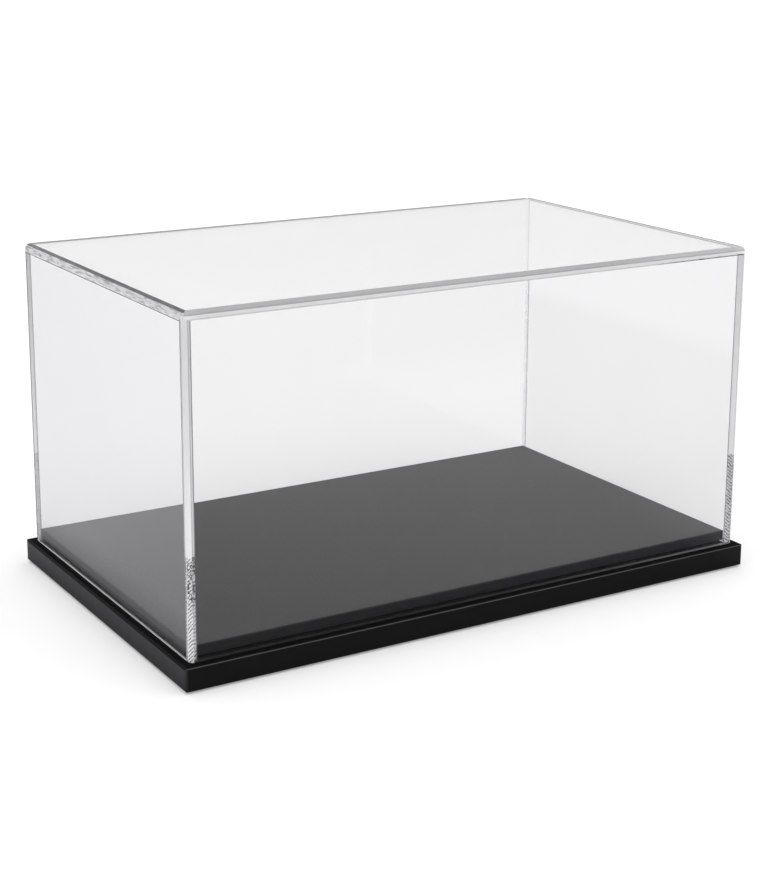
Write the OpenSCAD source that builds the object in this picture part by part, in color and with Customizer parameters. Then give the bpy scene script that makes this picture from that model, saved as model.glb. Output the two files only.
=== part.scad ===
// Display case: a clear five-sheet cover that lifts off a black base with a covered display deck.
// Millimetres. The origin is on the standing surface under the middle of the base.
// +X runs along the length, +Y towards the back, +Z up.

/* [Cover] */
// Outside length of the clear cover
cover_w = 400; // [200:1:600]
// Outside depth of the clear cover
cover_d = 242; // [150:1:400]
// Outside height of the clear cover, from the ledge to the top face
cover_h = 202; // [80:1:400]
// Thickness of the clear sheet
sheet_t = 4.5; // [4:0.5:8]
// Radius of the cover's rounded and polished outer edges
edge_r = 3.5; // [1:0.5:3.5]

/* [Base] */
// Width of the ledge that shows outside the cover
ledge = 5; // [3:0.5:15]
// Thickness of the base board
base_t = 15; // [12:1:25]
// Radius of the base board's eased edges
base_edge_r = 1.8; // [0.5:0.1:3]

/* [Deck] */
// Gap between the deck's sides and the inside of the cover
deck_gap = 0.6; // [0.5:0.1:2]
// Thickness of the riser that makes the shadow line under the deck
riser_t = 3; // [2:0.5:6]
// How far the riser stands back from the deck's sides
riser_inset = 4; // [3:0.5:10]
// Thickness of the deck board
deck_board_t = 5.2; // [4:0.1:10]
// Thickness of the leathercloth that covers the deck board
skin_t = 0.8; // [0.5:0.1:1]
// Width of the hem that is turned under the deck board
hem_w = 3.6; // [2:0.1:3.8]
// Radius of the covered deck's rounded edges
deck_edge_r = 1.2; // [0.8:0.1:2]

/* [Feet] */
// Diameter of a rubber foot
foot_d = 14; // [8:1:20]
// Thickness of a rubber foot
foot_t = 1; // [0.8:0.1:3]
// Distance from the base's edges to the middle of a foot
foot_inset = 20; // [12:1:40]

/* [Screws] */
// Diameter of a deck screw
screw_d = 3.4; // [3:0.1:4]
// Diameter of a deck screw's countersunk head
screw_head_d = 6.8; // [6:0.1:8]
// Length of a deck screw
screw_l = 20; // [19:0.5:21]
// Distance between the screws along the length
screw_pitch_x = 150; // [60:1:180]
// Distance between the two rows of screws
screw_pitch_y = 170; // [60:1:200]

/* [Hidden] */
$fn = 64;

// Heights above the standing surface
base_z = foot_t;
ledge_z = base_z + base_t;
riser_top_z = ledge_z + riser_t;
board_top_z = riser_top_z + deck_board_t;
deck_top_z = board_top_z + skin_t;
wall_h = cover_h - sheet_t;
wall_top_z = ledge_z + wall_h;

// Plan sizes
base_w = cover_w + 2 * ledge;
base_d = cover_d + 2 * ledge;
deck_w = cover_w - 2 * (sheet_t + deck_gap);
deck_d = cover_d - 2 * (sheet_t + deck_gap);
board_w = deck_w - 2 * skin_t;
board_d = deck_d - 2 * skin_t;
riser_w = deck_w - 2 * riser_inset;
riser_d = deck_d - 2 * riser_inset;
foot_x = base_w / 2 - foot_inset;
foot_y = base_d / 2 - foot_inset;

// Fits and small details
overcut = 1;
base_corner_r = 2;
hole_play = 0.6;
pilot_d = 2.8;
pilot_room = 0.3;
head_depth = 2;
head_sink = 2;
tip_l = 2;
cross_w = 1;
cross_l = 3.6;
cross_depth = 1.1;
mitre_slit = 0.4;
foot_edge = 0.3;

// Colours
clear = [0.93, 0.95, 0.96, 0.3];
lacquer = [0.09, 0.09, 0.095];
raw_black = [0.05, 0.05, 0.05];
leathercloth = [0.2, 0.2, 0.205];
zinc = [0.72, 0.73, 0.75];
rubber = [0.12, 0.12, 0.12];

// A rectangle of w by d with its four corners rounded to r, centred on the origin
module rounded_rect(w, d, r) {
    square([w, d - 2 * r], center = true);
    square([w - 2 * r, d], center = true);
    for (x = [-1, 1], y = [-1, 1])
        translate([x * (w / 2 - r), y * (d / 2 - r)]) circle(r);
}

// A section w wide and h high that stands on the X axis, with its two upper corners rounded to r
module crowned_section(w, h, r) {
    intersection() {
        translate([0, h - w / 2]) rounded_rect(w, w, r);
        translate([-w / 2, 0]) square([w, h]);
    }
}

// Extrudes a section along X or along Y, centred, with the section's own Y axis upright
module along_x(l) {
    rotate([90, 0, 90]) linear_extrude(l, center = true) children();
}

module along_y(l) {
    rotate([90, 0, 0]) linear_extrude(l, center = true) children();
}

// A board of w by d by h that stands on Z = 0, with every edge eased to r and upright corners to corner_r
module eased_board(w, d, h, r, corner_r) {
    intersection() {
        linear_extrude(h) rounded_rect(w, d, corner_r);
        along_x(w) translate([0, h / 2]) rounded_rect(d, h, r);
        along_y(d) translate([0, h / 2]) rounded_rect(w, h, r);
    }
}

// The places of the deck screws
module at_screws() {
    for (x = [-1, 0, 1], y = [-1, 1])
        translate([x * screw_pitch_x, y * screw_pitch_y / 2, base_z]) children();
}

// One sheet is cut for the top. It lies over all four walls, and its upper edge is rounded.
module top_panel() {
    color(clear) translate([0, 0, wall_top_z]) intersection() {
        linear_extrude(sheet_t) rounded_rect(cover_w, cover_d, edge_r);
        along_x(cover_w) crowned_section(cover_d, sheet_t, edge_r);
        along_y(cover_d) crowned_section(cover_w, sheet_t, edge_r);
    }
}

// A long wall runs the whole length of the cover. Its rounded ends show at the left and the right.
module long_wall() {
    translate([0, 0, ledge_z]) linear_extrude(wall_h) intersection() {
        translate([0, sheet_t - cover_d / 2]) rounded_rect(cover_w, cover_d, edge_r);
        translate([-cover_w / 2, 0]) square([cover_w, sheet_t]);
    }
}

module front_panel() {
    color(clear) translate([0, sheet_t - cover_d / 2]) mirror([0, 1, 0]) long_wall();
}

module back_panel() {
    color(clear) translate([0, cover_d / 2 - sheet_t]) long_wall();
}

// The side walls fit between the long walls
module side_wall() {
    translate([0, sheet_t - cover_d / 2, ledge_z])
        cube([sheet_t, cover_d - 2 * sheet_t, wall_h]);
}

module left_panel() {
    color(clear) translate([-cover_w / 2, 0]) side_wall();
}

module right_panel() {
    color(clear) translate([cover_w / 2 - sheet_t, 0]) side_wall();
}

// The lacquered base board, bored and countersunk from below for the deck screws
module base_board() {
    clear_d = screw_d + hole_play;
    bore_d = screw_head_d + hole_play;
    color(lacquer) difference() {
        translate([0, 0, base_z]) eased_board(base_w, base_d, base_t, base_edge_r, base_corner_r);
        at_screws() {
            translate([0, 0, -overcut]) cylinder(h = base_t + 2 * overcut, d = clear_d);
            translate([0, 0, -overcut]) cylinder(h = overcut + head_sink, d = bore_d);
            translate([0, 0, head_sink]) cylinder(h = head_depth, d1 = screw_head_d, d2 = screw_d);
        }
    }
}

// The riser lifts the deck board and stands back from its sides
module deck_riser() {
    color(raw_black) difference() {
        translate([-riser_w / 2, -riser_d / 2, ledge_z]) cube([riser_w, riser_d, riser_t]);
        at_screws() cylinder(h = base_t + riser_t + overcut, d = screw_d + hole_play);
    }
}

// The deck board takes the ends of the screws in blind pilot holes, narrower than the screws so that they bite
module deck_board() {
    pilot_l = head_sink + screw_l + pilot_room;
    color(raw_black) difference() {
        translate([-board_w / 2, -board_d / 2, riser_top_z]) cube([board_w, board_d, deck_board_t]);
        at_screws() cylinder(h = pilot_l, d = pilot_d);
    }
}

// The leathercloth wraps the deck board's top and sides, and its hem is turned under and mitred
module deck_covering() {
    skin_h = deck_top_z - riser_top_z + skin_t;
    open_w = deck_w - 2 * hem_w;
    open_d = deck_d - 2 * hem_w;
    slit_l = 2 * (hem_w - skin_t) * sqrt(2);
    color(leathercloth) difference() {
        translate([0, 0, riser_top_z - skin_t])
            eased_board(deck_w, deck_d, skin_h, deck_edge_r, deck_edge_r);
        translate([-board_w / 2, -board_d / 2, riser_top_z]) cube([board_w, board_d, deck_board_t]);
        translate([-open_w / 2, -open_d / 2, riser_top_z - skin_t - overcut])
            cube([open_w, open_d, skin_t + 2 * overcut]);
        for (x = [-1, 1], y = [-1, 1])
            translate([x * open_w / 2, y * open_d / 2, riser_top_z - skin_t / 2])
                rotate([0, 0, x * y * 45]) cube([slit_l, mitre_slit, 2 * skin_t], center = true);
    }
}

// A countersunk cross-head screw, point up, whose head lies at Z = 0
module deck_screw() {
    difference() {
        rotate_extrude() polygon([
            [0, 0],
            [screw_head_d / 2, 0],
            [screw_d / 2, head_depth],
            [screw_d / 2, screw_l - tip_l],
            [0, screw_l]
        ]);
        for (turn = [0, 90])
            rotate([0, 0, turn])
                cube([cross_l, cross_w, 2 * cross_depth], center = true);
    }
}

module deck_screws() {
    color(zinc) at_screws() translate([0, 0, head_sink]) deck_screw();
}

// A thin self-adhesive rubber disc with its lower edge eased, on the side given by x and y
module foot(x, y) {
    color(rubber) translate([x * foot_x, y * foot_y, 0]) {
        cylinder(h = foot_edge, d1 = foot_d - 2 * foot_edge, d2 = foot_d);
        translate([0, 0, foot_edge]) cylinder(h = foot_t - foot_edge, d = foot_d);
    }
}

module foot_front_left() {
    foot(-1, -1);
}

module foot_front_right() {
    foot(1, -1);
}

module foot_back_left() {
    foot(-1, 1);
}

module foot_back_right() {
    foot(1, 1);
}

top_panel();
front_panel();
back_panel();
left_panel();
right_panel();
base_board();
deck_riser();
deck_board();
deck_covering();
deck_screws();
foot_front_left();
foot_front_right();
foot_back_left();
foot_back_right();
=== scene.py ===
"""Display case: a clear acrylic cover on a black base with a leathercloth-covered deck."""
import math

import bmesh
import bpy
from mathutils import Euler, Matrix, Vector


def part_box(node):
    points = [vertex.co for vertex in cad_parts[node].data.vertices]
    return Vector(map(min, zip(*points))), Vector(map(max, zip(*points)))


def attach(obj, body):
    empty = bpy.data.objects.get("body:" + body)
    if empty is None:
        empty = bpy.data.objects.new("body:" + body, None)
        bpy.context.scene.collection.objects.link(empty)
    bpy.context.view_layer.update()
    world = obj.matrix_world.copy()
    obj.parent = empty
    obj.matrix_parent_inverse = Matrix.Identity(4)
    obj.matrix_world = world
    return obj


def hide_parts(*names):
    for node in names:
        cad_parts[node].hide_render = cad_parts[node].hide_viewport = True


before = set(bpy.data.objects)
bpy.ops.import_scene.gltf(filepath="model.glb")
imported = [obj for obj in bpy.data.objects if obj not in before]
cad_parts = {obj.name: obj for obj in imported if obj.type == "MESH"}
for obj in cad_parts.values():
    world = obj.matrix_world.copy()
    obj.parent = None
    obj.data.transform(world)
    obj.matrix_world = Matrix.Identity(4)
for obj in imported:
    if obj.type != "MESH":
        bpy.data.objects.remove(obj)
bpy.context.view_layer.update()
MM = 0.001


# ---------------------------------------------------------------- sizes, in millimetres
def node_box(node):
    """The lowest and the highest corner of a CAD node."""
    return [[round(part / MM, 3) for part in corner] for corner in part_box(node)]


# The clear sheets are rebuilt here, in the CAD sheets' own places and with their edge radius.
top_low, top_high = node_box("top_panel")
HALF_W, HALF_D, TOP_Z = top_high
WALL_TOP_Z = top_low[2]
LEDGE_Z = node_box("front_panel")[0][2]
SHEET_T = TOP_Z - WALL_TOP_Z
INNER_X = HALF_W - SHEET_T
INNER_Y = HALF_D - SHEET_T
EDGE_R = 3.5

# Detail that only this model has: the eased lower edges and the gap under them, the widths of the
# strips coloured by cement, by a cut, at the seam and by painted shade, and the steps of a rounded corner
ARRIS = 0.4
SEAT_GAP = 0.05
FOOT_LINE_H = 0.4
SEAM_H = 0.8
SMEAR_H = 0.9
SMEAR_LINE_H = 0.5
FILLET_W = 1.5
FAR_STRIP_W = 1.3
MARGIN_ANGLE = math.radians(16)
ROUND_STEPS = 12
SMALLEST_R = 0.05

FOOT_Z = LEDGE_Z + SEAT_GAP
FOOT_LINE_Z = FOOT_Z + ARRIS + FOOT_LINE_H
SEAM_Z = WALL_TOP_Z - SEAM_H
SMEAR_Z = WALL_TOP_Z - SMEAR_H
SMEAR_LINE_Z = SMEAR_Z - SMEAR_LINE_H
FILLET_X = INNER_X - FILLET_W


# ---------------------------------------------------------------- helpers
class Nodes:
    """Short calls for making and joining the nodes of one tree."""

    def __init__(self, tree):
        self.tree = tree
        tree.nodes.clear()

    def add(self, kind, **values):
        node = self.tree.nodes.new(kind)
        for name, value in values.items():
            setattr(node, name, value)
        return node

    def put(self, socket, value):
        """Joins an output to an input, or sets the input's own value. A colour needs no alpha."""
        if isinstance(value, bpy.types.NodeSocket):
            self.tree.links.new(value, socket)
        elif socket.type == "RGBA":
            socket.default_value = (*value, 1.0)
        else:
            socket.default_value = value

    def math(self, operation, a, b=0.0):
        node = self.add("ShaderNodeMath", operation=operation)
        self.put(node.inputs[0], a)
        self.put(node.inputs[1], b)
        return node.outputs[0]

    def plus(self, a, b):
        return self.math("ADD", a, b)

    def minus(self, a, b):
        return self.math("SUBTRACT", a, b)

    def times(self, a, b):
        return self.math("MULTIPLY", a, b)

    def larger(self, a, b):
        return self.math("MAXIMUM", a, b)

    def unsigned(self, value):
        return self.math("ABSOLUTE", value)

    def spread(self, value, low, high, new_low, new_high):
        """Maps a value from one range to another, and holds it inside the new one."""
        node = self.add("ShaderNodeMapRange")
        for name, number in (("Value", value), ("From Min", low), ("From Max", high),
                             ("To Min", new_low), ("To Max", new_high)):
            self.put(node.inputs[name], number)
        return node.outputs["Result"]

    def rise(self, value, low, high):
        """From 0 to 1, while the value goes from low to high."""
        return self.spread(value, low, high, 0.0, 1.0)

    def fall(self, value, low, high):
        """From 1 to 0, while the value goes from low to high."""
        return self.spread(value, low, high, 1.0, 0.0)

    def split(self, vector):
        """The three parts of a vector."""
        node = self.add("ShaderNodeSeparateXYZ")
        self.put(node.inputs[0], vector)
        return tuple(node.outputs)

    def place(self):
        """The point that is shaded, in metres in the object's axes."""
        return self.add("ShaderNodeTexCoord").outputs["Object"]

    def facing(self):
        """The three parts of the surface's direction, in the object's axes."""
        return self.split(self.add("ShaderNodeTexCoord").outputs["Normal"])

    def path(self, name):
        """What kind of ray has come here."""
        return self.add("ShaderNodeLightPath").outputs[name]

    def noise(self, scale, detail=2.0, roughness=0.5, vector=None):
        node = self.add("ShaderNodeTexNoise")
        self.put(node.inputs["Vector"], vector or self.place())
        self.put(node.inputs["Scale"], scale)
        self.put(node.inputs["Detail"], detail)
        self.put(node.inputs["Roughness"], roughness)
        return node.outputs["Fac"]

    def drift(self, low, high, scale, detail=2.0):
        """A value that wanders between two others."""
        return self.spread(self.noise(scale, detail), 0.3, 0.7, low, high)

    def bump(self, height, distance, strength=1.0):
        node = self.add("ShaderNodeBump")
        self.put(node.inputs["Height"], height)
        self.put(node.inputs["Distance"], distance)
        self.put(node.inputs["Strength"], strength)
        return node.outputs["Normal"]

    def blend(self, factor, a, b):
        """A colour between two others."""
        node = self.add("ShaderNodeMix", data_type="RGBA")
        self.put(node.inputs[0], factor)
        self.put(node.inputs[6], a)
        self.put(node.inputs[7], b)
        return node.outputs[2]

    def mottle(self, a, b, scale, detail=2.0):
        """A colour that wanders between two others."""
        return self.blend(self.noise(scale, detail), a, b)

    def shader(self, kind, **values):
        """A shader with the given inputs set. A space in an input's name is written as _."""
        node = self.add(kind)
        for name, value in values.items():
            self.put(node.inputs[name.replace("_", " ")], value)
        return node.outputs[0]

    def mix(self, factor, a, b):
        """A shader between two others."""
        node = self.add("ShaderNodeMixShader")
        self.put(node.inputs[0], factor)
        self.put(node.inputs[1], a)
        self.put(node.inputs[2], b)
        return node.outputs[0]

    def out(self, shader, kind="ShaderNodeOutputMaterial"):
        self.put(self.add(kind).inputs[0], shader)


def material(name):
    made = bpy.data.materials.new(name)
    made.use_nodes = True
    return made, Nodes(made.node_tree)


def placed(name, data):
    """A new object in the scene."""
    made = bpy.data.objects.new(name, data)
    bpy.context.scene.collection.objects.link(made)
    return made


# ---------------------------------------------------------------- clear sheet
IOR = 1.49
WHITE = (1.0, 1.0, 1.0)
SHEET_TINT = (0.991, 0.991, 0.994)
SHADOW_CLEAR = (0.98, 0.982, 0.982)
CEMENT_CLEAR = (0.98, 0.98, 0.98)
BLOOM_SHARE = 0.6


def lets_light_through(n, shader):
    """Lamps and sky light pass through, so that the sheet throws only a faint shadow."""
    passing = n.shader("ShaderNodeBsdfTransparent", Color=SHADOW_CLEAR)
    return n.mix(n.path("Is Shadow Ray"), shader, passing)


def milk(n, colour):
    """Scattered light, part of which shines through from behind."""
    through = n.shader("ShaderNodeBsdfTranslucent", Color=colour)
    bloom = n.shader("ShaderNodeBsdfDiffuse", Color=colour)
    return n.mix(BLOOM_SHARE, through, bloom)


def clear_sheet():
    """Polished faces, with a trace of the slow waviness that cast sheet has."""
    made, n = material("clear_acrylic")
    tint = n.mottle(SHEET_TINT, WHITE, 12.0, 3.0)
    waves = n.bump(n.noise(9.0), 0.00005, 0.5)
    glass = n.shader("ShaderNodeBsdfGlass", Color=tint, Roughness=0.0, IOR=IOR, Normal=waves)
    n.out(lets_light_through(n, glass))
    return made


def worked_edge(name, cloudy, tone):
    """A cut, rounded or bonded edge. The share given by cloudy is scattered in the colour that
    tone makes, and the rest goes through, slightly frosted."""
    made, n = material(name)
    scratches = n.bump(n.noise(900.0, 3.0), 0.00001, 0.4)
    glass = n.shader("ShaderNodeBsdfGlass", Roughness=0.04, IOR=IOR, Normal=scratches)
    share = n.drift(cloudy - 0.03, cloudy + 0.03, 70.0, 3.0)
    n.out(lets_light_through(n, n.mix(share, glass, milk(n, tone(n)))))
    return made


def bonded(name, cloudy, tone):
    """A bonded joint: part of the light goes straight on, and the cement clouds the rest."""
    made, n = material(name)
    passing = n.shader("ShaderNodeBsdfTransparent", Color=CEMENT_CLEAR)
    haze = n.drift(cloudy - 0.06, cloudy + 0.06, 45.0, 4.0)
    n.out(lets_light_through(n, n.mix(haze, passing, milk(n, tone(n)))))
    return made


# ---------------------------------------------------------------- saw marks on the corner posts
# In metres: how high the marks reach, where the curls start, the distance from one stroke to the
# next, how far rising and falling strokes wander, and where the posts are greyest. MARKS_LEAN is
# the rise for each metre around the corner.
MARKS_TOP = 0.078
CURLS_FROM = 0.05
MARKS_PITCH = 0.0023
RISING_WANDER = 0.0022
FALLING_WANDER = 0.002
GREYEST_Z = 0.2
MARKS_LEAN = 0.8
CROSSED_SHARE = 0.4
PALE = (0.97, 0.97, 0.975)
PALE_HIGH = (0.85, 0.85, 0.86)
STROKE = (0.05, 0.055, 0.065)


def strokes(n, lean, wander):
    """From 0 to 1: thin broken strokes around a corner, one every MARKS_PITCH up the edge."""
    x, y, z = n.split(n.place())
    around = n.minus(n.unsigned(x), n.unsigned(y))
    wobble = n.times(n.noise(330.0, 3.0), wander)
    level = n.plus(n.plus(z, n.times(around, lean)), wobble)
    wave = n.math("SINE", n.times(level, 2 * math.pi / MARKS_PITCH))
    broken = n.spread(n.noise(700.0, 2.0), 0.38, 0.52, 0.35, 1.0)
    return n.times(n.rise(wave, 0.1, 0.65), broken)


def saw_marks(n):
    """From 0 to 1: strokes below MARKS_TOP, faintly crossed on the right, and at the near left
    corner dark curls above CURLS_FROM."""
    x, y, z = n.split(n.place())
    rising = strokes(n, MARKS_LEAN, RISING_WANDER)
    falling = strokes(n, -MARKS_LEAN, FALLING_WANDER)
    crossed = n.times(falling, n.times(n.math("GREATER_THAN", x, 0.0), CROSSED_SHARE))
    slanting = n.times(n.larger(rising, crossed), 0.85)
    contour = n.unsigned(n.minus(n.noise(310.0, 2.0, 0.6), 0.5))
    curls = n.fall(contour, 0.02, 0.06)
    near_left = n.times(n.math("LESS_THAN", x, 0.0), n.math("LESS_THAN", y, 0.0))
    high = n.times(near_left, n.rise(z, CURLS_FROM - 0.005, CURLS_FROM + 0.003))
    marks = n.larger(slanting, n.times(curls, high))
    ragged = n.plus(z, n.times(n.noise(400.0), 0.001))
    below = n.fall(ragged, MARKS_TOP, MARKS_TOP + 0.0008)
    return n.times(below, marks)


def marked(n, share):
    """Pale up to MARKS_TOP and greyer towards the top, most of all at the left, with the given
    share of stroke colour."""
    x, _, z = n.split(n.place())
    left = n.spread(x, -0.1, 0.1, 1.0, 0.3)
    high = n.times(left, n.rise(z, MARKS_TOP, GREYEST_Z))
    return n.blend(share, n.blend(high, PALE, PALE_HIGH), STROKE)


# ---------------------------------------------------------------- colours of the worked edges
# Places along the case are in metres from its middle, as the nodes read them. Part of these tones
# stands in for what the edges bend and mirror in the photo, so they differ from side to side.
def post_tone(n):
    """Pale, with the saw marks seen through it, but faint on the part that turns to the side."""
    sideways = n.unsigned(n.facing()[0])
    seen_marks = n.spread(sideways, 0.86, 0.95, 1.0, 0.15)
    return marked(n, n.times(saw_marks(n), seen_marks))


def joint_tone(n):
    """Pale, with a dark line along the inner edge of the cement's fillet, and the saw marks."""
    x = n.split(n.place())[0]
    dark_to = FILLET_X + 0.3
    pale_from = FILLET_X + 1.0
    line = n.spread(n.unsigned(x), dark_to * MM, pale_from * MM, 0.8, 0.0)
    return marked(n, n.larger(line, saw_marks(n)))


def wisps(n):
    """From 0 to 1: long faint smears of cement along the upper side edges."""
    turn = n.add("ShaderNodeMapping")
    n.put(turn.inputs["Vector"], n.place())
    n.put(turn.inputs["Rotation"], (math.radians(20), 0.0, 0.0))
    n.put(turn.inputs["Scale"], (1.0, 0.12, 1.0))
    return n.rise(n.noise(850.0, 2.0, 0.6, turn.outputs[0]), 0.45, 0.66)


def smeared_tone(n):
    return n.blend(wisps(n), (0.93, 0.935, 0.945), (0.42, 0.425, 0.43))


def dark_side_tone(n):
    return n.blend(wisps(n), (0.2, 0.2, 0.205), (0.3, 0.3, 0.305))


def line_tone(n):
    return n.blend(wisps(n), (0.04, 0.04, 0.045), (0.1, 0.1, 0.105))


def margin_tone(n):
    return n.mottle((0.42, 0.425, 0.43), (0.52, 0.525, 0.53), 90.0, 3.0)


def end_tone(n):
    return n.mottle((0.3, 0.3, 0.31), (0.38, 0.38, 0.39), 90.0)


def clear_corner_tone(n):
    return n.mottle((0.86, 0.865, 0.87), (0.95, 0.955, 0.96), 50.0)


def pale_tone(n):
    return n.mottle((0.95, 0.95, 0.955), (0.99, 0.99, 0.99), 50.0)


def dim_tone(n):
    """Nearly black towards the left and pale towards the right. It stands in for what the lower
    edge mirrors in the photo."""
    x = n.split(n.place())[0]
    rise = n.rise(x, -0.05, 0.19)
    return n.blend(n.times(rise, rise), (0.06, 0.06, 0.06), (0.4, 0.4, 0.41))


def top_tone(n):
    """Grey, and darker where the edge has turned to face outwards."""
    turned_out = n.fall(n.facing()[2], 0.4, 0.55)
    return n.blend(turned_out, (0.66, 0.665, 0.675), (0.5, 0.505, 0.515))


def seam_tone(n):
    """Grey, and towards the right darker, with short black runs."""
    x = n.split(n.place())[0]
    right = n.rise(x, 0.125, 0.14)
    runs = n.times(right, n.rise(n.noise(110.0, 1.0), 0.5, 0.55))
    plain = n.blend(right, (0.7, 0.7, 0.71), (0.3, 0.3, 0.305))
    return n.blend(runs, plain, (0.01, 0.01, 0.012))


SHEET_MATERIALS = (
    clear_sheet(),
    bonded("bonded_joint", 0.9, joint_tone),
    worked_edge("rounded_post", 0.92, post_tone),
    worked_edge("edge_margin", 0.35, margin_tone),
    worked_edge("rounded_top_edge", 0.85, top_tone),
    worked_edge("dark_top_edge", 0.75, dark_side_tone),
    worked_edge("cement_smear", 0.85, smeared_tone),
    worked_edge("smear_line", 0.8, line_tone),
    worked_edge("front_seam", 0.85, seam_tone),
    worked_edge("pale_cut_edge", 0.9, pale_tone),
    worked_edge("dim_cut_edge", 0.9, dim_tone),
    # The back right corner's joint and post are far less cloudy, which paints that corner lighter.
    bonded("clear_corner_joint", 0.25, clear_corner_tone),
    worked_edge("clear_corner_post", 0.3, clear_corner_tone),
    # Painted shade: the right side edge of the top sheet and a strip of its top face.
    worked_edge("far_top_edge_painted_shade", 0.93, dark_side_tone),
    worked_edge("end_line", 0.85, end_tone),
)
(POLISHED, BONDED, POST, MARGIN, TOP_EDGE, DARK_EDGE, SMEAR, SMEAR_LINE, SEAM, PALE_CUT,
 DIM_CUT, CLEAR_CORNER_JOINT, CLEAR_CORNER_POST, FAR_SHADE_EDGE, END_LINE) = range(len(SHEET_MATERIALS))


# ---------------------------------------------------------------- base
def satin_lacquer():
    """Black lacquer: satin on the sides, most of all on the left and right ones as a painted sheen,
    with a painted highlight along the front and back upper edges, and rubbed down to matt on the top
    face."""
    flat_gloss = 0.04
    side_gloss = 0.32
    end_gloss = 0.6
    edge_gloss = 0.95
    made, n = material("black_lacquer")
    nx, ny, nz = n.facing()
    top = n.rise(nz, 0.93, 0.99)
    side = n.fall(nz, 0.1, 0.3)
    halfway = n.fall(n.unsigned(n.minus(nz, 0.6)), 0.1, 0.16)
    edge = n.times(halfway, n.rise(n.unsigned(ny), 0.2, 0.4))
    # Painted sheen: more gloss on the left and right faces. Painted highlight: gloss on the front and
    # back upper edges only.
    of_side = n.plus(side_gloss, n.times(n.unsigned(nx), end_gloss))
    gloss = n.plus(n.times(side, of_side), n.times(edge, edge_gloss))
    satin = n.drift(0.29, 0.37, 120.0, 4.0)
    n.out(n.shader(
        "ShaderNodeBsdfPrincipled",
        Base_Color=n.mottle((0.003, 0.003, 0.0032), (0.005, 0.005, 0.0052), 35.0, 3.0),
        Roughness=n.plus(satin, n.times(top, 0.5)),
        Specular_IOR_Level=n.plus(flat_gloss, gloss),
        Normal=n.bump(n.noise(500.0, 2.0), 0.00001, 0.3),
    ))
    return made


def matt_board():
    made, n = material("matt_black_board")
    n.out(n.shader(
        "ShaderNodeBsdfPrincipled",
        Base_Color=n.mottle((0.004, 0.004, 0.004), (0.011, 0.011, 0.011), 600.0, 5.0),
        Roughness=0.8,
        Specular_IOR_Level=0.2,
        Normal=n.bump(n.noise(1500.0, 4.0), 0.00005, 0.7),
    ))
    return made


def leathercloth():
    """Pebbled cloth with smooth sides, which get little gloss as painted shade. Its gloss falls
    towards the near left, a painted sheen to match the sheen across the deck in the photo."""
    reach = 0.18
    made, n = material("leathercloth")
    grain = n.add("ShaderNodeTexVoronoi", feature="SMOOTH_F1")
    n.put(grain.inputs["Vector"], n.place())
    n.put(grain.inputs["Scale"], 1100.0)
    pebbles = grain.outputs["Distance"]
    height = n.minus(n.times(n.noise(2600.0, 3.0), 0.3), pebbles)
    x, y, _ = n.split(n.place())
    across = n.plus(n.times(x, 0.6), y)
    nz = n.facing()[2]
    # Painted sheen: the gloss rises from the near left to the far right, and the sides get little of it,
    # as painted shade.
    sheen_across = n.spread(across, -reach, reach, 0.43, 0.64)
    dull = n.spread(across, -reach, reach, 0.07, 0.0)
    side_gloss = n.spread(nz, 0.5, 0.97, 0.15, 1.0)
    side_smooth = n.spread(nz, 0.5, 0.97, -0.2, 0.0)
    rough = n.spread(pebbles, 0.0, 0.8, 0.52, 0.42)
    n.out(n.shader(
        "ShaderNodeBsdfPrincipled",
        Base_Color=n.mottle((0.0125, 0.0125, 0.0135), (0.0155, 0.0155, 0.0165), 18.0, 4.0),
        Roughness=n.plus(rough, n.plus(dull, side_smooth)),
        Specular_IOR_Level=n.times(sheen_across, side_gloss),
        Normal=n.bump(height, 0.00003, 0.35),
    ))
    return made


def zinc_plate():
    made, n = material("zinc_plate")
    spangle = n.noise(2500.0, 4.0)
    n.out(n.shader(
        "ShaderNodeBsdfPrincipled",
        Base_Color=n.blend(spangle, (0.45, 0.47, 0.5), (0.62, 0.64, 0.66)),
        Metallic=1.0,
        Roughness=n.spread(spangle, 0.3, 0.7, 0.28, 0.42),
        Normal=n.bump(spangle, 0.00002, 0.5),
    ))
    return made


def foot_rubber():
    made, n = material("foot_rubber")
    speckle = n.noise(3000.0, 3.0)
    n.out(n.shader(
        "ShaderNodeBsdfPrincipled",
        Base_Color=n.blend(speckle, (0.014, 0.014, 0.014), (0.026, 0.026, 0.026)),
        Roughness=0.85,
        Normal=n.bump(speckle, 0.00005, 0.6),
    ))
    return made


def dress(node, made):
    """The base's nodes keep their CAD shape and get a material."""
    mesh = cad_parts[node].data
    mesh.materials.clear()
    mesh.materials.append(made)


dress("base_board", satin_lacquer())
BOARD = matt_board()
dress("deck_riser", BOARD)
dress("deck_board", BOARD)
dress("deck_covering", leathercloth())
dress("deck_screws", zinc_plate())
RUBBER = foot_rubber()
for corner in ("front_left", "front_right", "back_left", "back_right"):
    dress("foot_" + corner, RUBBER)


# ---------------------------------------------------------------- clear sheets as meshes
def arc(cx, cy, r, start):
    """Points of a quarter circle, in degrees from start."""
    angles = [math.radians(start + 90 * i / ROUND_STEPS) for i in range(ROUND_STEPS + 1)]
    return [(cx + r * math.cos(a), cy + r * math.sin(a)) for a in angles]


def rounded_outline(half_w, half_d, r):
    """A rectangle with rounded corners, anticlockwise from its front right corner."""
    points = []
    for sx, sy, start in ((1, -1, 270), (1, 1, 0), (-1, 1, 90), (-1, -1, 180)):
        points += arc(sx * (half_w - r), sy * (half_d - r), r, start)
    return points


def add_ring(bm, outline, z):
    return [bm.verts.new((x * MM, y * MM, z * MM)) for x, y in outline]


def add_face(bm, corners, index):
    face = bm.faces.new(corners)
    face.material_index = index
    return face


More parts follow.
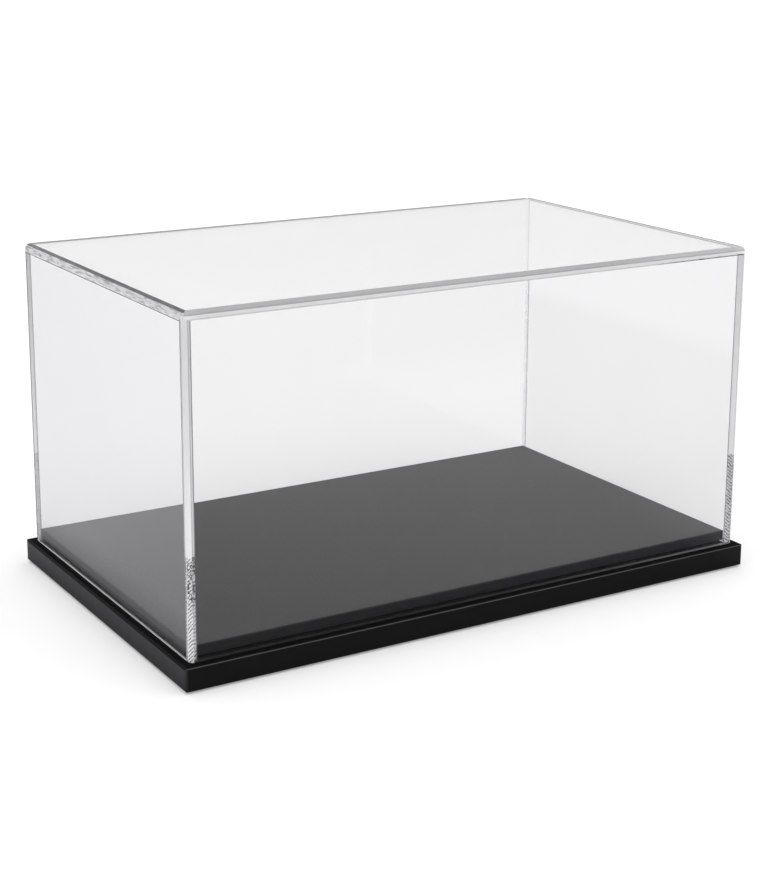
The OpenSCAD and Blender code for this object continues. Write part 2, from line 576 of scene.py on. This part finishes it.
def join_rings(bm, rings, paint):
    """Quads between the rings. paint gives each one's material from its middle and normal."""
    for low, high in zip(rings, rings[1:]):
        for i in range(len(low)):
            j = (i + 1) % len(low)
            face = add_face(bm, (low[i], low[j], high[j], high[i]), POLISHED)
            face.normal_update()
            face.material_index = paint(face.calc_center_median() / MM, face.normal)


def finish_sheet(bm, name, node):
    mesh = bpy.data.meshes.new(name)
    bmesh.ops.recalc_face_normals(bm, faces=bm.faces)
    bm.to_mesh(mesh)
    bm.free()
    for one in SHEET_MATERIALS:
        mesh.materials.append(one)
    piece = placed(name, mesh)
    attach(piece, "cover")
    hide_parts(node)


# The rounded side edges of the top sheet are dark above the first height, and the long ones pale
# below the second, both as the upright part of the normal. A face squarer than SQUARE is flat.
DARK_UP = math.sin(math.radians(48))
PALE_BELOW = math.sin(math.radians(14))
SQUARE = 0.99


def turned(normal):
    """How far a rounded edge has turned, from 0 on the one face to a right angle on the next."""
    sideways = max(abs(normal.x), abs(normal.y))
    return math.acos(min(1.0, max(sideways, abs(normal.z))))


def paint_post(c, normal):
    """Flat faces are clear, apart from the ends and the lower edge. Rounded corners are pale, with
    a clearer margin next to the flat, and the one at the back right is far less cloudy, which paints
    that corner lighter."""
    away = turned(normal)
    if away < 0.01:
        return END_LINE if abs(normal.x) > SQUARE else POLISHED
    if normal.z < -0.1:
        return DIM_CUT if abs(normal.x) < 0.1 else PALE_CUT
    if min(c.x, c.y) > 0:
        return CLEAR_CORNER_POST
    return MARGIN if away < MARGIN_ANGLE else POST


def paint_top(c, normal):
    """The long rounded edges are grey over a pale foot. The side edges are dark above and smeared
    below. On the right the dark is a denser painted shade, which runs on into a strip of the top face."""
    if normal.z > 0.999:
        return FAR_SHADE_EDGE if c.x > HALF_W - EDGE_R - FAR_STRIP_W else POLISHED
    if abs(normal.x) > abs(normal.y):
        if normal.z <= DARK_UP:
            return SMEAR
        return FAR_SHADE_EDGE if normal.x > 0 else DARK_EDGE
    if normal.z < PALE_BELOW:
        return PALE_CUT
    return TOP_EDGE


def top_sheet():
    """The top sheet, with its rounded upper edge and corners."""
    flat_z = TOP_Z - EDGE_R
    levels = [(WALL_TOP_Z, 0.0), (flat_z, 0.0)]
    for i in range(1, ROUND_STEPS + 1):
        a = math.radians(90 * i / ROUND_STEPS)
        levels.append((flat_z + EDGE_R * math.sin(a), EDGE_R * (1 - math.cos(a))))
    levels.append((TOP_Z, EDGE_R + FAR_STRIP_W))
    bm = bmesh.new()
    rings = []
    for z, inset in levels:
        r = max(SMALLEST_R, EDGE_R - inset)
        rings.append(add_ring(bm, rounded_outline(HALF_W - inset, HALF_D - inset, r), z))
    join_rings(bm, rings, paint_top)
    add_face(bm, rings[-1], POLISHED)
    corners = [(INNER_X, -INNER_Y), (INNER_X, INNER_Y), (-INNER_X, INNER_Y), (-INNER_X, -INNER_Y)]
    inner = add_ring(bm, corners, WALL_TOP_Z)
    add_face(bm, inner[::-1], POLISHED)
    count = ROUND_STEPS + 1
    for i in range(4):
        j = (i + 1) % 4
        rounded = rings[0][i * count:(i + 1) * count]
        add_face(bm, [inner[i]] + rounded, BONDED)
        add_face(bm, [inner[i], rounded[-1], rings[0][j * count], inner[j]], BONDED)
    finish_sheet(bm, "top_sheet", "top_panel")


def long_outline(side, inset):
    """Plan of a front or back wall: rounded outer corners, and points where the side walls and
    the cement's fillets meet it."""
    r = EDGE_R - inset
    outer = HALF_D - inset
    end = HALF_W - inset
    inner = -(INNER_Y + inset)
    points = arc(-(end - r), -(outer - r), r, 180) + arc(end - r, -(outer - r), r, 270)
    for x in (end, INNER_X, FILLET_X, -FILLET_X, -INNER_X, -end):
        points.append((x, inner))
    if side > 0:
        points = [(x, -y) for x, y in reversed(points)]
    return points


def long_wall(side, name, node):
    """A front or back wall: it runs the whole length, so its cut ends show at the left and right."""
    def paint(c, normal):
        if normal.y * side < -SQUARE and abs(c.x) > FILLET_X:
            return CLEAR_CORNER_JOINT if min(c.x, c.y) > 0 else BONDED
        if normal.y * side > SQUARE and c.z > SEAM_Z:
            return SEAM
        return paint_post(c, normal)

    bm = bmesh.new()
    levels = ((FOOT_Z, ARRIS), (FOOT_Z + ARRIS, 0.0), (SEAM_Z, 0.0), (WALL_TOP_Z, 0.0))
    rings = [add_ring(bm, long_outline(side, inset), z) for z, inset in levels]
    join_rings(bm, rings, paint)
    add_face(bm, rings[0][::-1], DIM_CUT)
    add_face(bm, rings[-1], BONDED)
    finish_sheet(bm, name, node)


def side_wall(side, name, node):
    """A side wall, between the long walls. Cement clouds a narrow strip along its upper edge."""
    def paint(c, normal):
        if abs(normal.y) > SQUARE:
            return CLEAR_CORNER_JOINT if min(c.x, c.y) > 0 else BONDED
        if normal.x * side > SQUARE and c.z > SMEAR_LINE_Z:
            return SMEAR if c.z > SMEAR_Z else SMEAR_LINE
        if normal.x * side > 0.5 and c.z < FOOT_LINE_Z:
            return PALE_CUT
        return POLISHED

    def plan(inset):
        near, far = sorted((side * (HALF_W - inset), side * (INNER_X + inset)))
        return [(near, -INNER_Y), (far, -INNER_Y), (far, INNER_Y), (near, INNER_Y)]

    bm = bmesh.new()
    levels = ((FOOT_Z, ARRIS), (FOOT_Z + ARRIS, 0.0), (FOOT_LINE_Z, 0.0), (SMEAR_LINE_Z, 0.0),
              (SMEAR_Z, 0.0), (WALL_TOP_Z, 0.0))
    rings = [add_ring(bm, plan(inset), z) for z, inset in levels]
    join_rings(bm, rings, paint)
    add_face(bm, rings[0][::-1], PALE_CUT)
    add_face(bm, rings[-1], BONDED)
    finish_sheet(bm, name, node)


top_sheet()
side_wall(-1, "left_sheet", "left_panel")
side_wall(1, "right_sheet", "right_panel")
long_wall(-1, "front_sheet", "front_panel")
long_wall(1, "back_sheet", "back_panel")


# ---------------------------------------------------------------- floor
FLOOR_HALF = 30.0
FLOOR_TONE = (0.8, 0.8, 0.8)
FLOOR_GLOW = 0.22
FLOOR_GLOW_THROUGH = 0.145
FLOOR_MIRRORED = (0.565, 0.565, 0.59)
FLOOR_MIRRORED_FRONT = (0.08, 0.08, 0.083)


def seen(n, straight, through, mirrored):
    """One value for what is seen straight, one for what is seen through the sheets, and one for
    what is seen mirrored."""
    first = n.times(n.path("Is Camera Ray"), straight)
    second = n.times(n.path("Is Transmission Ray"), through)
    third = n.times(n.path("Is Glossy Ray"), mirrored)
    return n.larger(n.larger(first, second), third)


def floor_paper():
    """White paper, but mirrored darker than it is seen, nearly black in front, and with a painted
    shadow beside the base's left and right sides. That matches the photo's panels, which would show
    pure white with the paper's own tone."""
    made, n = material("studio_floor")
    card = n.shader("ShaderNodeBsdfDiffuse", Color=FLOOR_TONE)
    glow = n.shader("ShaderNodeEmission", Strength=seen(n, FLOOR_GLOW, FLOOR_GLOW_THROUGH, 0.0))
    total = n.add("ShaderNodeAddShader")
    n.put(total.inputs[0], card)
    n.put(total.inputs[1], glow)
    x, y, _ = n.split(n.place())
    # Painted shadow: mirrored, the paper darkens towards the base's left and right sides.
    shadow_by_base_sides = n.spread(n.unsigned(x), 0.2, 0.245, 0.2, 1.0)
    backwards = n.rise(y, -0.3, -0.1)
    beside = n.times(shadow_by_base_sides, backwards)
    faint = n.shader("ShaderNodeBsdfDiffuse", Color=n.blend(beside, FLOOR_MIRRORED_FRONT, FLOOR_MIRRORED))
    mirrored = n.math("GREATER_THAN", n.path("Glossy Depth"), 0.5)
    n.out(n.mix(mirrored, total.outputs[0], faint))
    return made


def floor():
    mesh = bpy.data.meshes.new("floor")
    bm = bmesh.new()
    corners = ((-FLOOR_HALF, -FLOOR_HALF), (FLOOR_HALF, -FLOOR_HALF), (FLOOR_HALF, FLOOR_HALF),
               (-FLOOR_HALF, FLOOR_HALF))
    bm.faces.new([bm.verts.new((x, y, 0.0)) for x, y in corners])
    bm.to_mesh(mesh)
    bm.free()
    mesh.materials.append(floor_paper())
    placed("floor", mesh)


floor()


# ---------------------------------------------------------------- studio light
LIGHT_LOW = 0.65
LIGHT_HIGH = 1.1
LIGHT_FRONT = 1.5
LIGHT_LEFT = 0.15
SKY_SEEN = 1.0
SKY_THROUGH = 1.0
SKY_MIRRORED = 0.8


def studio():
    """A white studio, brightest overhead and in front, and plain white where it is seen."""
    world = bpy.data.worlds.new("studio")
    bpy.context.scene.world = world
    world.use_nodes = True
    n = Nodes(world.node_tree)
    x, y, z = n.split(n.add("ShaderNodeTexCoord").outputs["Generated"])
    height = n.spread(z, 0.0, 1.0, LIGHT_LOW, LIGHT_HIGH)
    front = n.spread(y, -1.0, 0.3, LIGHT_FRONT, 1.0)
    left = n.spread(x, -1.0, 0.0, LIGHT_LEFT, 0.0)
    level = n.plus(n.times(height, front), left)
    light = n.shader("ShaderNodeBackground", Color=WHITE, Strength=level)
    shown = seen(n, SKY_SEEN, SKY_THROUGH, SKY_MIRRORED)
    white = n.shader("ShaderNodeBackground", Color=WHITE, Strength=shown)
    n.out(n.mix(seen(n, 1.0, 1.0, 1.0), light, white), "ShaderNodeOutputWorld")


studio()


# ---------------------------------------------------------------- camera and light paths
LENS = 72.894
SHIFT = (-0.00056, -0.10993)
EYE = (-0.59779, -0.98773, 0.42568)
EYE_TURN = (76.492, -0.2865, -31.0991)
BOUNCES = 48


def camera():
    """A camera fitted to the photo, with its shift held well below what the photo needs."""
    data = bpy.data.cameras.new("camera")
    data.lens = LENS
    data.sensor_width = 36.0
    data.shift_x, data.shift_y = SHIFT
    data.clip_start = 0.05
    data.clip_end = 100.0
    eye = placed("camera", data)
    eye.location = EYE
    eye.rotation_euler = Euler([math.radians(a) for a in EYE_TURN])
    bpy.context.scene.camera = eye


camera()

scene = bpy.context.scene
scene.view_settings.view_transform = "Standard"
scene.cycles.max_bounces = BOUNCES
scene.cycles.transmission_bounces = BOUNCES
scene.cycles.glossy_bounces = 16
scene.cycles.transparent_max_bounces = 64
